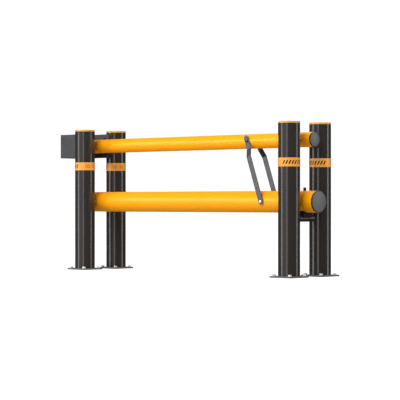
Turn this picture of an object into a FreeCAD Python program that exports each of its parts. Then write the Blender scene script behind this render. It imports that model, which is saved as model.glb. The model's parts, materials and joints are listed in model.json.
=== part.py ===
"""Twin-rail lifting barrier gate: two pairs of bolted posts, two rails on pivots, and their link bars.

The frame is millimetres with +Z up.  X runs along the rails, with the pivots at the -X end.  The origin
lies on the floor, half-way along the gate and half-way between the front and rear posts.
"""
import FreeCAD, Part
import math
import os

import Sketcher

Vector = FreeCAD.Vector
X_AXIS = Vector(1, 0, 0)
Y_AXIS = Vector(0, 1, 0)
Z_AXIS = Vector(0, 0, 1)

# Turns that lay a primitive's own Z axis along +X or +Y.
ALONG_X = FreeCAD.Rotation(Y_AXIS, 90)
ALONG_Y = FreeCAD.Rotation(X_AXIS, -90)

# The two Y sides of the gate: front is -Y, rear is +Y.
SIDES = {"front": -1, "rear": 1}

# alias: (millimetres, meaning)
DIMENSIONS = {
    "post_diameter": (160, "outside of a post tube"),
    "post_wall": (8, "wall of a post tube"),
    "post_top": (1116, "top edge of a post tube"),
    "post_left_x": (-985, "axis of the pivot posts"),
    "post_right_x": (1243, "axis of the catch posts"),
    "post_row_y": (170, "axis of each row from the middle"),
    "plate_side": (205, "side of a square base plate"),
    "plate_thickness": (12, "thickness of a base plate"),
    "plate_corner": (8, "corner radius of a base plate"),
    "plate_chamfer": (1.5, "chamfer of a base plate's upper edge"),
    "core_diameter": (143.4, "outside of the core tube inside a post"),
    "core_wall": (6, "wall of the core tube"),
    "core_top": (192, "top of the core tube"),
    "anchor_spacing": (155, "distance between neighbouring anchor holes"),
    "anchor_hole": (18, "anchor hole"),
    "cap_rise": (14, "height of a post cap above its tube"),
    "cap_edge": (5, "rounding of a post cap"),
    "cap_skirt": (143.4, "outside of a post cap's skirt"),
    "cap_skirt_depth": (32, "depth of a post cap's skirt"),
    "skirt_wall": (4, "wall of every plug skirt"),
    "band_bottom": (802, "lower edge of a wrapped band"),
    "band_width": (64, "height of a wrapped band"),
    "band_film": (0.8, "thickness of a wrapped band"),
    "upper_axis_z": (1000, "axis of the upper rail"),
    "lower_axis_z": (548, "axis of the lower rail"),
    "pivot_setback": (165, "upper pivot behind the lower pivot"),
    "link_reach": (1871, "pivot to link bolt, the same on both rails"),
    "upper_diameter": (110, "outside of the upper rail"),
    "upper_wall": (8, "wall of the upper rail"),
    "upper_end_x": (1332, "catch end of the upper tube"),
    "upper_tail": (195, "upper tube behind its pivot"),
    "lower_diameter": (160, "outside of the lower rail"),
    "lower_wall": (10, "wall of the lower rail"),
    "lower_end_x": (1372, "catch end of the lower tube"),
    "lower_tail": (66, "lower tube behind its pivot"),
    "rim_width": (9, "rim of a rail end cap"),
    "end_dome": (7, "rise of the face of a rail end cap"),
    "tail_rim_width": (5, "rim of a rail tail cap"),
    "tail_dome": (2, "rise of the face of a rail tail cap"),
    "plug_clearance": (0.3, "radial gap round a plug skirt"),
    "plug_depth": (32, "depth of a rail plug skirt"),
    "bracket_end_x": (-1388, "outer face of the bracket's end web"),
    "bracket_length": (413, "length of the bracket's side plates"),
    "bracket_width": (180, "outside width of the bracket"),
    "bracket_height": (194, "height of the bracket"),
    "bracket_bottom": (908, "lower edge of the bracket"),
    "bracket_plate": (8, "plate thickness of the bracket"),
    "bracket_bend": (12, "outside bend radius of the bracket"),
    "bracket_edge": (0.8, "chamfer of the bracket's upper and lower edges"),
    "spacer_length": (54, "bracket spacer along the gate"),
    "spacer_setback": (74, "outer end of a spacer behind the pivot posts' axis"),
    "spacer_margin": (10, "bracket above and below a spacer"),
    "backing_length": (50, "backing block along the gate before it is shaped to the post"),
    "backing_setback": (66, "outer end of that block behind the pivot posts' axis"),
    "backing_margin": (18, "bracket above and below a backing block"),
    "backing_near_y": (105, "near face of a backing block from the middle"),
    "backing_far_y": (129, "far face of a backing block from the middle"),
    "fixing_setback": (47, "bracket bolts behind the pivot posts' axis"),
    "fixing_low_z": (948, "lower bracket bolts"),
    "fixing_high_z": (1062, "upper bracket bolts"),
    "fixing_bolt": (12, "bracket bolt shank"),
    "fixing_hole": (13, "clearance hole of a bracket bolt"),
    "fixing_head": (24, "button head of a bracket bolt"),
    "fixing_head_height": (6.6, "height of that head"),
    "fixing_socket": (8, "across flats of its socket"),
    "fixing_socket_depth": (4, "depth of its socket"),
    "fixing_end_y": (126, "tip of a bracket bolt from the middle"),
    "upper_pivot_bolt": (24, "upper pivot bolt shank"),
    "upper_pivot_flats": (36, "across flats of its head and nut"),
    "upper_head_height": (15, "height of its head"),
    "upper_nut_height": (19, "height of its nut"),
    "upper_hub_outer": (40, "hub tube through the upper rail"),
    "upper_hub_bore": (32, "bore of that hub tube"),
    "upper_hub_half": (78, "half its length"),
    "lower_pivot_shaft": (30, "lower pivot shaft"),
    "lower_shaft_half": (240, "half its length"),
    "lower_hub_outer": (50, "hub tube through the lower rail"),
    "lower_hub_bore": (40, "bore of that hub tube"),
    "lower_hub_half": (84, "half its length"),
    "shaft_sleeve": (44, "sleeve that holds the shaft in a post"),
    "running_gap": (0.1, "diametral play of a bush"),
    "bush_flange": (3, "thickness of a bush flange"),
    "bush_flange_step": (5, "flange beyond the hub tube's radius"),
    "bush_length": (26, "length of a bush inside its hub tube"),
    "stop_rod": (16, "open-position stop rod"),
    "stop_sleeve": (22, "rubber sleeve on the stop rod"),
    "stop_ahead": (66.5, "stop rod ahead of the upper pivot"),
    "stop_below": (76, "stop rod below the upper pivot"),
    "link_width": (44, "width of a link bar"),
    "link_plate": (6, "thickness of a link bar"),
    "link_upper_y": (57, "inner face of a link bar beside the upper rail"),
    "link_lower_y": (83, "inner face of a link bar beside the lower rail"),
    "link_crank_start": (58.5, "upper bolt to the start of the crank"),
    "link_crank_end": (122.5, "upper bolt to the end of the crank"),
    "link_top_margin": (45.5, "bar above its upper bolt"),
    "link_foot_margin": (22, "bar below its lower bolt"),
    "link_end_round": (21.9, "rounding of a link bar's ends"),
    "link_bend": (8, "bend radius of the crank"),
    "link_edge": (0.8, "chamfer of a link bar's long edges"),
    "link_bolt": (10, "link bolt shank"),
    "link_flats": (16, "across flats of a link bolt's head and nut"),
    "link_head_height": (6.4, "height of a link bolt's head"),
    "link_nut_height": (8, "height of a link bolt's nut"),
    "link_washer": (21, "outside of a link washer"),
    "link_washer_thickness": (2, "thickness of a link washer"),
    "link_side_gap": (0.5, "side play of a link bar"),
    "link_upper_hole": (10.1, "running hole at the upper link bolt"),
    "link_lower_hole": (11, "clearance hole at the lower link bolt"),
    "link_sleeve": (18, "spacer sleeve round a link bolt"),
    "weight_diameter": (93, "counterweight bar"),
    "weight_length": (130, "length of the counterweight bar"),
    "rest_tube": (50, "tube that the lower rail rests over"),
    "rest_wall": (5, "wall of the rest tube"),
    "rest_axis_z": (427.7, "axis of the rest tube"),
    "rest_reach": (97, "half length before the ends are shaped to the posts"),
    "tie_rod": (12, "rod through the rest tube"),
    "tie_half": (114, "half length of the tie rod"),
    "tie_flats": (19, "across flats of a tie nut"),
    "tie_nut_height": (10, "height of a tie nut"),
    "tie_nut_y": (99, "inner face of a tie nut"),
    "saddle_length": (72, "rubber saddle along the rail"),
    "saddle_width": (92, "rubber saddle across the rail"),
    "saddle_top": (480, "top edges of the rubber saddle"),
    "saddle_bottom": (434, "lower edges of the rubber saddle"),
    "rail_rest_gap": (0.3, "gap between the saddle and the lower rail"),
    "spigot": (22, "lock spigot"),
    "spigot_foot_z": (437, "foot of the lock spigot, inside the rest tube"),
    "spigot_top_z": (653, "top of the lock spigot"),
    "spigot_chamfer": (3, "chamfer of its tip"),
    "padlock_hole": (9, "cross hole of the lock spigot"),
    "padlock_z": (640, "height of that hole"),
    "cut_margin": (10, "how far a cutting tool runs past the solid it cuts"),
    "slot_width": (26, "spigot slot across the lower rail"),
    "slot_length": (38, "spigot slot along the lower rail"),
}

# Vertical centre distance of the link's two bolts, as an expression of the driving sizes.
RAIL_DROP = "(dims.upper_axis_z - dims.lower_axis_z)"
LINK_TILT = f"atan(dims.pivot_setback / {RAIL_DROP})"
LINK_LENGTH = f"sqrt(dims.pivot_setback ^ 2 + {RAIL_DROP} ^ 2)"
UPPER_PIVOT_X = "dims.post_left_x - dims.pivot_setback"
LOWER_PIVOT_X = "dims.post_left_x"

doc = FreeCAD.newDocument("barrier_gate")
sheet = doc.addObject("Spreadsheet::Sheet", "dims")
for row, (alias, (size, meaning)) in enumerate(DIMENSIONS.items(), start=1):
    sheet.set(f"A{row}", meaning)
    sheet.set(f"B{row}", str(size))
    sheet.setAlias(f"B{row}", alias)
doc.recompute()

sub_parts = []


def value(expression):
    """Number that an expression of the sheet's cells has now."""
    result = sheet.evalExpression(expression)
    return float(getattr(result, "Value", result))


def bind(obj, **expressions):
    """Bind properties of an object to expressions of the sheet."""
    for name, expression in expressions.items():
        obj.setExpression(name, expression)
    return obj


def place(obj, x="0", y="0", z="0", turn=None):
    """Put an object at a bound position, with a fixed turn."""
    rotation = turn if turn is not None else FreeCAD.Rotation()
    obj.Placement = FreeCAD.Placement(Vector(value(x), value(y), value(z)), rotation)
    for letter, expression in zip("xyz", (x, y, z)):
        if expression != "0":
            obj.setExpression(f"Placement.Base.{letter}", expression)
    return obj


def keep(obj):
    """Mark an object as a finished sub-part."""
    sub_parts.append(obj)
    return obj


# ---------------------------------------------------------------- PartDesign helpers

def new_body(label):
    body = doc.addObject("PartDesign::Body", label)
    body.Label = label
    return body


def new_sketch(body, name, role, offset="0"):
    """Sketch on one of a body's own origin planes, moved along its normal by offset."""
    sketch = body.newObject("Sketcher::SketchObject", f"{body.Label}_{name}")
    plane = next(item for item in body.Origin.OriginFeatures if item.Role == role)
    sketch.AttachmentSupport = [(plane, "")]
    sketch.MapMode = "FlatFace"
    if offset != "0":
        sketch.setExpression("AttachmentOffset.Base.z", offset)
    return sketch


def constrain(sketch, expression, kind, *where):
    """Add a dimension and bind it to an expression."""
    number = sketch.addConstraint(Sketcher.Constraint(kind, *where, value(expression)))
    sketch.setExpression(f"Constraints[{number}]", expression)


def pin_point(sketch, element, vertex, x, y):
    """Hold one point of a sketch at bound coordinates."""
    for kind, axis, expression in (("DistanceX", -2, x), ("DistanceY", -1, y)):
        if expression == "0":
            sketch.addConstraint(Sketcher.Constraint("PointOnObject", element, vertex, axis))
        else:
            constrain(sketch, expression, kind, -1, 1, element, vertex)


def add_circle(sketch, diameter, x="0", y="0"):
    centre = Vector(value(x), value(y), 0)
    circle = sketch.addGeometry(Part.Circle(centre, Z_AXIS, value(diameter) / 2), False)
    constrain(sketch, diameter, "Diameter", circle)
    pin_point(sketch, circle, 3, x, y)


def add_polygon(sketch, corners):
    """Closed outline through bound corners, with a dome arc after a corner that says 'dome'."""
    points = [Vector(value(corner[0]), value(corner[1]), 0) for corner in corners]
    first = sketch.GeometryCount
    count = len(corners)
    for index, corner in enumerate(corners):
        start, end = points[index], points[(index + 1) % count]
        if "dome" in corner:
            sketch.addGeometry(dome_arc(start, end), False)
        else:
            sketch.addGeometry(Part.LineSegment(start, end), False)
    for index, corner in enumerate(corners):
        this, after = first + index, first + (index + 1) % count
        # A dome's arc runs from the axis to the rim, so its end point is the outline's start.
        leaves = 1 if "dome" in corner else 2
        enters = 2 if "dome" in corners[(index + 1) % count] else 1
        sketch.addConstraint(Sketcher.Constraint("Coincident", this, leaves, after, enters))
        pin_point(sketch, after, enters, *corners[(index + 1) % count][:2])
        if "dome" in corner:
            sketch.addConstraint(Sketcher.Constraint("PointOnObject", this, 3, -1))


def dome_arc(rim, crown):
    """Arc from the crown on the X axis to the rim, square to that axis at the crown."""
    rise = crown.x - rim.x
    radius = (rim.y ** 2 + rise ** 2) / (2 * rise)
    half_angle = math.asin(rim.y / radius)
    circle = Part.Circle(Vector(crown.x - radius, 0, 0), Z_AXIS, radius)
    return Part.ArcOfCircle(circle, 0, half_angle)


def add_rectangle(sketch, x_low, x_high, y_low, y_high):
    add_polygon(sketch, [(x_low, y_low), (x_high, y_low), (x_high, y_high), (x_low, y_high)])


def add_slot(sketch, length, width, x):
    """Slot with round ends, along the sketch's X and centred at x on its X axis."""
    radius = value(width) / 2
    near = value(x) - value(length) / 2 + radius
    far = value(x) + value(length) / 2 - radius
    quarter = math.pi / 2
    left = Part.ArcOfCircle(Part.Circle(Vector(near, 0, 0), Z_AXIS, radius), quarter, 3 * quarter)
    right = Part.ArcOfCircle(Part.Circle(Vector(far, 0, 0), Z_AXIS, radius), -quarter, quarter)
    top = Part.LineSegment(Vector(near, radius, 0), Vector(far, radius, 0))
    bottom = Part.LineSegment(Vector(near, -radius, 0), Vector(far, -radius, 0))
    sketch.addGeometry([left, right, top, bottom], False)
    for joint in ((0, 1, 2, 1), (0, 2, 3, 1), (2, 2, 1, 2), (3, 2, 1, 1)):
        sketch.addConstraint(Sketcher.Constraint("Tangent", *joint))
    constrain(sketch, f"{width} / 2", "Radius", 0)
    pin_point(sketch, 0, 3, f"{x} - ({length} - {width}) / 2", "0")
    pin_point(sketch, 1, 3, f"{x} + ({length} - {width}) / 2", "0")


def extrude(body, kind, name, sketch, length=None, side="One side", reverse=False):
    """Pad or Pocket of a sketch; a pocket with no length goes through everything."""
    feature = body.newObject(f"PartDesign::{kind}", f"{body.Label}_{name}")
    feature.Profile = sketch
    feature.SideType = side
    feature.Reversed = reverse
    if length is None:
        feature.Type = "ThroughAll"
    else:
        feature.setExpression("Length", length)
    doc.recompute()
    return feature


def pad(body, name, sketch, length, **options):
    return extrude(body, "Pad", name, sketch, length, **options)


def pocket(body, name, sketch, length=None, **options):
    """Pocket that has to remove material, or the build stops."""
    before = body.Shape.Volume
    feature = extrude(body, "Pocket", name, sketch, length, **options)
    if body.Shape.Volume >= before - 1e-3:
        raise RuntimeError(f"{feature.Name} cut nothing")
    return feature


def dress_edges(body, kind, size_name, name, size, chosen):
    """Fillet or chamfer the edges of a body's tip that the test function chooses."""
    tip = body.Tip
    names = [f"Edge{index}" for index, edge in enumerate(tip.Shape.Edges, start=1) if chosen(edge)]
    feature = body.newObject(f"PartDesign::{kind}", f"{body.Label}_{name}")
    feature.Base = (tip, names)
    feature.setExpression(size_name, size)
    doc.recompute()
    return feature


def round_edges(body, name, radius, chosen):
    return dress_edges(body, "Fillet", "Radius", name, radius, chosen)


def chamfer_edges(body, name, size, chosen):
    return dress_edges(body, "Chamfer", "Size", name, size, chosen)


def is_parallel(edge, axis):
    """True for a straight edge along an axis."""
    if not isinstance(edge.Curve, Part.Line):
        return False
    return abs(abs(edge.Curve.Direction.dot(axis)) - 1) < 1e-6


def is_level(edge, height):
    """True for an edge that lies wholly at one height."""
    return abs(edge.BoundBox.ZMin - height) < 1e-6 and abs(edge.BoundBox.ZMax - height) < 1e-6


# ---------------------------------------------------------------- Part helpers

def cylinder(name, diameter, length, x="0", y="0", z="0", turn=None):
    """Cylinder that starts at a bound point and runs along its turned Z axis."""
    obj = doc.addObject("Part::Cylinder", name)
    bind(obj, Radius=f"({diameter}) / 2", Height=length)
    return place(obj, x, y, z, turn)


def cross_rod(name, diameter, half_length, x, z):
    """Cylinder across the gate, centred on its middle plane."""
    return cylinder(name, diameter, f"2 * ({half_length})", x, f"-({half_length})", z, ALONG_Y)


def hexagon(name, across_flats, height, x="0", y="0", z="0", turn=None):
    """Hexagonal prism that starts at a bound point and runs along its turned Z axis."""
    obj = doc.addObject("Part::Prism", name)
    obj.Polygon = 6
    bind(obj, Circumradius=f"({across_flats}) / sqrt(3)", Height=height)
    return place(obj, x, y, z, turn)


def block(name, length, width, height, x="0", y="0", z="0"):
    """Box from a bound low corner."""
    obj = doc.addObject("Part::Box", name)
    bind(obj, Length=length, Width=width, Height=height)
    return place(obj, x, y, z)


def fuse(name, *shapes):
    obj = doc.addObject("Part::MultiFuse", name)
    obj.Label = name
    obj.Shapes = list(shapes)
    obj.Refine = True
    return obj


def cut(name, base, *tools):
    obj = doc.addObject("Part::Cut", name)
    obj.Label = name
    obj.Base = base
    obj.Tool = tools[0] if len(tools) == 1 else fuse(f"{name}_tools", *tools)
    return obj


def common(name, first, second):
    obj = doc.addObject("Part::Common", name)
    obj.Label = name
    obj.Base = first
    obj.Tool = second
    return obj


def group(name, *shapes):
    """Several loose solids that share one node."""
    obj = doc.addObject("Part::Compound", name)
    obj.Label = name
    obj.Links = list(shapes)
    return obj


def tube(name, outer, inner, half_length, x, z):
    """Tube across the gate, centred on its middle plane."""
    outside = cross_rod(f"{name}_outside", outer, half_length, x, z)
    inside = cross_rod(f"{name}_inside", inner, f"{half_length} + 1", x, z)
    return cut(name, outside, inside)


# ---------------------------------------------------------------- posts

def make_post(label, end, side):
    """Post tube, with the holes of whatever it carries in the wall that faces the middle."""
    body = new_body(label)
    ring = new_sketch(body, "ring", "XY_Plane")
    add_circle(ring, "dims.post_diameter")
    add_circle(ring, "dims.post_diameter - 2 * dims.post_wall")
    pad(body, "tube", ring, "dims.post_top - dims.plate_thickness")
    holes = new_sketch(body, "holes", "XZ_Plane")
    if end == "left":
        add_circle(holes, "dims.lower_pivot_shaft", y="dims.lower_axis_z - dims.plate_thickness")
        for height in ("dims.fixing_low_z", "dims.fixing_high_z"):
            add_circle(holes, "dims.fixing_hole", "-dims.fixing_setback", f"{height} - dims.plate_thickness")
    else:
        add_circle(holes, "dims.tie_rod", y="dims.rest_axis_z - dims.plate_thickness")
    # A pocket on the XZ plane cuts towards +Y, so the rear post's is turned round.
    pocket(body, "wall_holes", holes, reverse=SIDES[side] > 0)
    place(body, f"dims.post_{end}_x", f"{SIDES[side]} * dims.post_row_y", "dims.plate_thickness")
    return keep(body)


def make_base_plate(label, end, side):
    """Square steel plate with four anchor holes."""
    body = new_body(label)
    outline = new_sketch(body, "outline", "XY_Plane")
    half = "dims.plate_side / 2"
    add_rectangle(outline, f"-{half}", half, f"-{half}", half)
    pad(body, "plate", outline, "dims.plate_thickness")
    round_edges(body, "corners", "dims.plate_corner", lambda edge: is_parallel(edge, Z_AXIS))
    thickness = value("dims.plate_thickness")
    chamfer_edges(body, "upper_edge", "dims.plate_chamfer", lambda edge: is_level(edge, thickness))
    hole = new_sketch(body, "hole", "XY_Plane")
    add_circle(hole, "dims.anchor_hole", "dims.anchor_spacing / 2", "dims.anchor_spacing / 2")
    first_hole = pocket(body, "anchor_hole", hole, "dims.plate_thickness", reverse=True)
    pattern = body.newObject("PartDesign::PolarPattern", f"{label}_anchor_holes")
    pattern.Originals = [first_hole]
    pattern.Axis = (outline, ["N_Axis"])
    pattern.Angle = 360
    pattern.Occurrences = 4
    body.Tip = pattern
    place(body, f"dims.post_{end}_x", f"{SIDES[side]} * dims.post_row_y")
    return keep(body)


def make_core_tube(label, end, side):
    """Steel tube welded upright on the base plate, which the post slides over."""
    body = new_body(label)
    ring = new_sketch(body, "ring", "XY_Plane")
    add_circle(ring, "dims.core_diameter")
    add_circle(ring, "dims.core_diameter - 2 * dims.core_wall")
    pad(body, "tube", ring, "dims.core_top - dims.plate_thickness")
    place(body, f"dims.post_{end}_x", f"{SIDES[side]} * dims.post_row_y", "dims.plate_thickness")
    return keep(body)


def revolve(body, name, sketch, axis):
    feature = body.newObject("PartDesign::Revolution", f"{body.Label}_{name}")
    feature.Profile = sketch
    feature.ReferenceAxis = (sketch, [axis])
    feature.Angle = 360
    doc.recompute()
    return feature


def make_post_cap(label, end, side):
    """Cap with a rounded edge and a skirt that plugs into the tube; local Z = 0 is the tube's edge."""
    body = new_body(label)
    profile = new_sketch(body, "profile", "XZ_Plane")
    rim = "dims.post_diameter / 2"
    skirt = "dims.cap_skirt / 2"
    skirt_inside = f"{skirt} - dims.skirt_wall"
    add_polygon(profile, [
        ("0", "0"),
        (skirt_inside, "0"),
        (skirt_inside, "-dims.cap_skirt_depth"),
        (skirt, "-dims.cap_skirt_depth"),
        (skirt, "0"),
        (rim, "0"),
        (rim, "dims.cap_rise"),
        ("0", "dims.cap_rise"),
    ])
    revolve(body, "shell", profile, "V_Axis")
    top_height = value("dims.cap_rise")
    round_edges(body, "edge", "dims.cap_edge",
                lambda edge: edge.Closed and abs(edge.BoundBox.ZMin - top_height) < 1e-6)
    place(body, f"dims.post_{end}_x", f"{SIDES[side]} * dims.post_row_y", "dims.post_top")
    return keep(body)


def make_band(label, end, side):
    """Thin film wrapped round a post."""
    body = new_body(label)
    ring = new_sketch(body, "ring", "XY_Plane")
    add_circle(ring, "dims.post_diameter + 2 * dims.band_film")
    add_circle(ring, "dims.post_diameter")
    pad(body, "film", ring, "dims.band_width")
    place(body, f"dims.post_{end}_x", f"{SIDES[side]} * dims.post_row_y", "dims.band_bottom")
    return keep(body)


def make_posts():
    for side in SIDES:
        for end in ("left", "right"):
            make_post(f"post_{side}_{end}", end, side)
            make_base_plate(f"base_plate_{side}_{end}", end, side)
            make_core_tube(f"core_tube_{side}_{end}", end, side)
            make_post_cap(f"post_cap_{side}_{end}", end, side)
            make_band(f"post_band_{side}_{end}", end, side)


# ---------------------------------------------------------------- pivot bracket

def make_bracket():
    """Folded plate: two long sides joined by an end web, open above, below and towards the posts."""
    body = new_body("pivot_bracket")
    half_width = "dims.bracket_width / 2"
    outline = new_sketch(body, "outline", "XY_Plane")
    add_rectangle(outline, "0", "dims.bracket_length", f"-{half_width}", half_width)
    pad(body, "blank", outline, "dims.bracket_height")
    round_edges(body, "outer_bends", "dims.bracket_bend",
                lambda edge: is_parallel(edge, Z_AXIS) and edge.BoundBox.XMax < 1)
    channel = new_sketch(body, "channel", "XY_Plane")
    inside = f"({half_width} - dims.bracket_plate)"
    add_rectangle(channel, "dims.bracket_plate", "dims.bracket_length + 1", f"-{inside}", inside)
    pocket(body, "channel_cut", channel, reverse=True)
    inner_x = value("dims.bracket_plate")
    round_edges(body, "inner_bends", "dims.bracket_bend - dims.bracket_plate",
                lambda edge: is_parallel(edge, Z_AXIS) and abs(edge.BoundBox.XMax - inner_x) < 1e-6)
    top = value("dims.bracket_height")
    chamfer_edges(body, "edges", "dims.bracket_edge", lambda edge: is_level(edge, 0) or is_level(edge, top))
    holes = new_sketch(body, "holes", "XZ_Plane")
    pivot_x = f"{UPPER_PIVOT_X} - dims.bracket_end_x"
    pivot_z = "dims.upper_axis_z - dims.bracket_bottom"
    add_circle(holes, "dims.upper_pivot_bolt", pivot_x, pivot_z)
    add_circle(holes, "dims.stop_rod", f"{pivot_x} + dims.stop_ahead", f"{pivot_z} - dims.stop_below")
    fixing_x = "dims.post_left_x - dims.fixing_setback - dims.bracket_end_x"
    for height in ("dims.fixing_low_z", "dims.fixing_high_z"):
        add_circle(holes, "dims.fixing_hole", fixing_x, f"{height} - dims.bracket_bottom")
    pocket(body, "plate_holes", holes, side="Symmetric")
    place(body, "dims.bracket_end_x", "0", "dims.bracket_bottom")
    return keep(body)


def fixing_tools(name, side, diameter):
    """Two cylinders across one side of the gate, where the bracket bolts run."""
    turn = ALONG_Y
    start = "0" if SIDES[side] > 0 else "-dims.post_row_y"
    return [
        cylinder(f"{name}_{level}", diameter, "dims.post_row_y",
                 "dims.post_left_x - dims.fixing_setback", start, f"dims.fixing_{level}_z", turn)
        for level in ("low", "high")
    ]


def make_bracket_fixings():
    """Spacers shaped to the posts, threaded backing blocks inside them, and the bolts."""
    bolts = []
    for side, sign in SIDES.items():
        row = f"{sign} * dims.post_row_y"
        low_y = "dims.bracket_width / 2" if sign > 0 else "-dims.post_row_y"
        depth = "dims.post_row_y - dims.bracket_width / 2"
        blank = block(f"spacer_blank_{side}", "dims.spacer_length", depth,
                      "dims.bracket_height - 2 * dims.spacer_margin", "dims.post_left_x - dims.spacer_setback",
                      low_y, "dims.bracket_bottom + dims.spacer_margin")
        post = cylinder(f"spacer_post_{side}", "dims.post_diameter", "dims.bracket_height",
                        "dims.post_left_x", row, "dims.bracket_bottom")
        keep(cut(f"bracket_spacer_{side}", blank, post,
                 *fixing_tools(f"spacer_hole_{side}", side, "dims.fixing_hole")))

        low_y = "dims.backing_near_y" if sign > 0 else "-dims.backing_far_y"
        blank = block(f"backing_blank_{side}", "dims.backing_length", "dims.backing_far_y - dims.backing_near_y",
                      "dims.bracket_height - 2 * dims.backing_margin",
                      "dims.post_left_x - dims.backing_setback", low_y, "dims.bracket_bottom + dims.backing_margin")
        bore = cylinder(f"backing_bore_{side}", "dims.post_diameter - 2 * dims.post_wall",
                        "dims.bracket_height", "dims.post_left_x", row, "dims.bracket_bottom")
        shaped = common(f"backing_shape_{side}", blank, bore)
        keep(cut(f"bracket_backing_{side}", shaped,
                 *fixing_tools(f"backing_hole_{side}", side, "dims.fixing_bolt")))

        for level in ("low", "high"):
            bolts.append(button_bolt(f"bracket_bolt_{side}_{level}", sign, f"dims.fixing_{level}_z"))
    keep(group("bracket_bolts", *bolts))


def button_bolt(name, sign, height):
    """Low-headed bolt that runs outwards from the bracket's channel, with a hexagon socket."""
    turn = ALONG_Y if sign > 0 else FreeCAD.Rotation(X_AXIS, 90)
    x = "dims.post_left_x - dims.fixing_setback"
    face = "(dims.bracket_width / 2 - dims.bracket_plate)"
    head_y = f"{sign} * ({face} - dims.fixing_head_height)"
    head = cylinder(f"{name}_head", "dims.fixing_head", "dims.fixing_head_height", x, head_y, height, turn)
    shank = cylinder(f"{name}_shank", "dims.fixing_bolt", f"dims.fixing_end_y - {face}",
                     x, f"{sign} * {face}", height, turn)
    socket = hexagon(f"{name}_socket", "dims.fixing_socket", "dims.fixing_socket_depth", x, head_y, height, turn)
    return cut(name, fuse(f"{name}_solid", head, shank), socket)


def make_stop():
    """Rod that the upper rail leans on when the gate stands open, and its rubber sleeve."""
    x = f"{UPPER_PIVOT_X} + dims.stop_ahead"
    z = "dims.upper_axis_z - dims.stop_below"
    keep(cross_rod("stop_rod", "dims.stop_rod", "dims.bracket_width / 2", x, z))
    keep(tube("stop_sleeve", "dims.stop_sleeve", "dims.stop_rod",
              "dims.bracket_width / 2 - dims.bracket_plate", x, z))


# ---------------------------------------------------------------- pivots

def flanged_bush(name, sign, bore, outer, hub_half, x, z):
    """Plastic bush in one end of a hub tube, with its flange outside."""
    turn = ALONG_Y if sign > 0 else FreeCAD.Rotation(X_AXIS, 90)
    inner_end = f"{sign} * ({hub_half} - dims.bush_length)"
    barrel = cylinder(f"{name}_barrel", outer, "dims.bush_length + dims.bush_flange", x, inner_end, z, turn)
    flange = cylinder(f"{name}_flange", f"{outer} + 2 * dims.bush_flange_step", "dims.bush_flange",
                      x, f"{sign} * {hub_half}", z, turn)
    hole = cylinder(f"{name}_bore", bore, "dims.bush_length + 10", x, f"{inner_end} - {sign} * 2", z, turn)
    return cut(name, fuse(f"{name}_solid", barrel, flange), hole)


def make_bushes(label, shaft, bore, hub_half, x, z):
    keep(group(label, *[
        flanged_bush(f"{label}_{side}", sign, f"{shaft} + dims.running_gap", bore, hub_half, x, z)
        for side, sign in SIDES.items()
    ]))


def make_upper_pivot():
    """Through bolt between the bracket's sides, and the hub tube that turns on it."""
    x, z = UPPER_PIVOT_X, "dims.upper_axis_z"
    face = "dims.bracket_width / 2"
    shank = cylinder("upper_pivot_shank", "dims.upper_pivot_bolt", f"2 * {face} + dims.upper_nut_height + 3",
                     x, f"-{face}", z, ALONG_Y)
    head = hexagon("upper_pivot_head", "dims.upper_pivot_flats", "dims.upper_head_height",
                   x, f"-{face} - dims.upper_head_height", z, ALONG_Y)
    keep(fuse("upper_pivot_bolt", shank, head))
    nut = hexagon("upper_nut_hexagon", "dims.upper_pivot_flats", "dims.upper_nut_height", x, face, z, ALONG_Y)
    thread = cylinder("upper_nut_thread", "dims.upper_pivot_bolt", "dims.upper_nut_height + 2",
                      x, f"{face} - 1", z, ALONG_Y)
    keep(cut("upper_pivot_nut", nut, thread))
    keep(tube("upper_hub_tube", "dims.upper_hub_outer", "dims.upper_hub_bore", "dims.upper_hub_half", x, z))
    make_bushes("upper_bushes", "dims.upper_pivot_bolt", "dims.upper_hub_bore", "dims.upper_hub_half", x, z)


def make_lower_pivot():
    """Shaft held in sleeves inside the pivot posts, and the hub tube that turns on it."""
    x, z = LOWER_PIVOT_X, "dims.lower_axis_z"
    keep(cross_rod("lower_pivot_shaft", "dims.lower_pivot_shaft", "dims.lower_shaft_half", x, z))
    sleeves = []
    for side, sign in SIDES.items():
        start = "dims.post_row_y - dims.post_diameter / 2" if sign > 0 else \
            "-dims.post_row_y - dims.post_diameter / 2"
        name = f"shaft_sleeve_{side}"
        blank = cylinder(f"{name}_blank", "dims.shaft_sleeve", "dims.post_diameter", x, start, z, ALONG_Y)
        bore = cylinder(f"{name}_post_bore", "dims.post_diameter - 2 * dims.post_wall", "2 * dims.shaft_sleeve",
                        x, f"{sign} * dims.post_row_y", f"{z} - dims.shaft_sleeve")
        hole = cylinder(f"{name}_hole", "dims.lower_pivot_shaft", "dims.post_diameter + 2",
                        x, f"{start} - 1", z, ALONG_Y)
        sleeves.append(cut(name, common(f"{name}_shape", blank, bore), hole))
    keep(group("shaft_sleeves", *sleeves))
    keep(tube("lower_hub_tube", "dims.lower_hub_outer", "dims.lower_hub_bore", "dims.lower_hub_half", x, z))
    make_bushes("lower_bushes", "dims.lower_pivot_shaft", "dims.lower_hub_bore", "dims.lower_hub_half", x, z)


# ---------------------------------------------------------------- rails

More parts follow.
